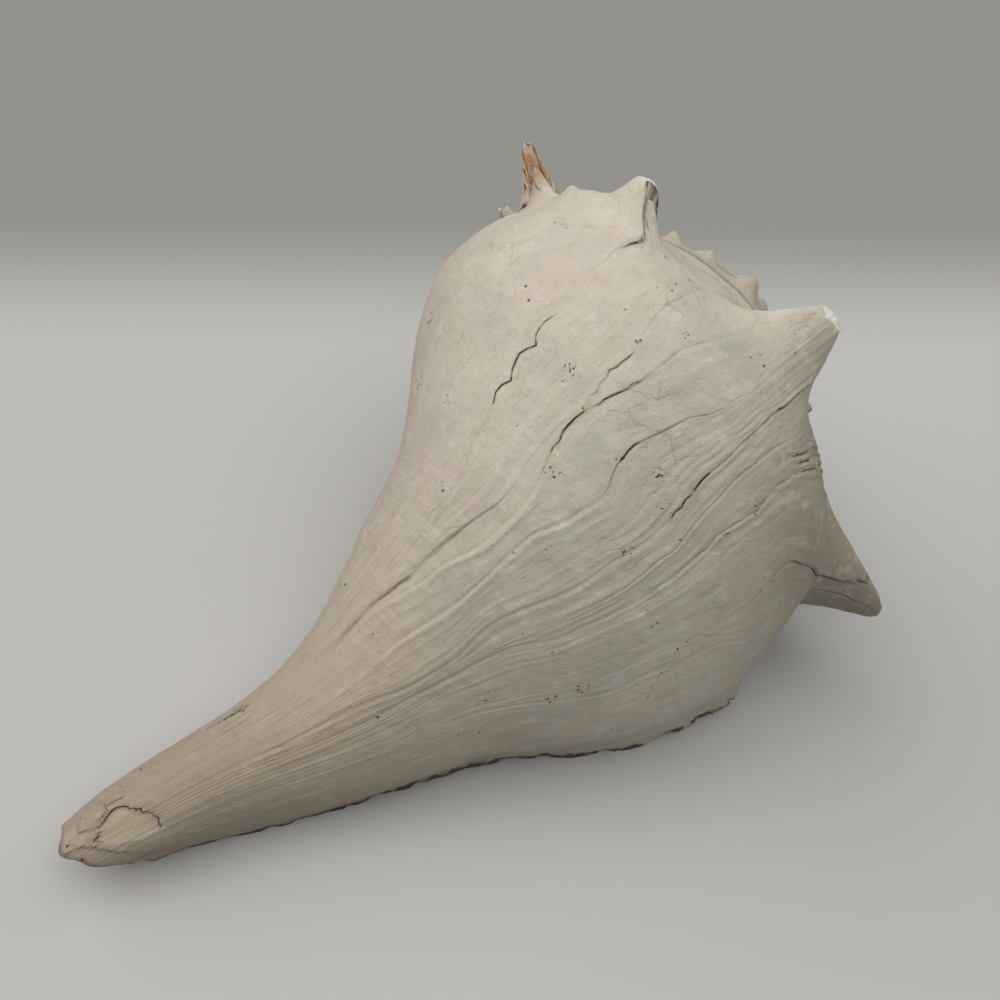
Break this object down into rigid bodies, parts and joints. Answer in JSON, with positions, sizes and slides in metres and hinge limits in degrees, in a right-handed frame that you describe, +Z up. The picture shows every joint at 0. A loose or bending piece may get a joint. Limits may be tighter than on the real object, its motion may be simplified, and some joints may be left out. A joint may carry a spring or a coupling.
{
  "type": "lightning whelk shell",
  "caption": "Left-handed spiral sea snail shell with a low spire, blunt shoulder spines, a wide opening and a long open canal, lying on its opening.",
  "frame": {"origin": "on the plane that the shell rests on, under the middle of its bounding box", "axes": "+Z up as the shell lies on its opening, +Y towards the apex, -Y towards the canal tip, +X towards the outer lip"},
  "size_m": [0.1702, 0.2696, 0.1482],
  "materials": {
    "chalky_shell": "dull, weathered, chalky off-white shell with fine growth lines, cracks and pits"
  },
  "bodies": {
    "root": {"shell": "chalky_shell"}
  },
  "joints": []
}
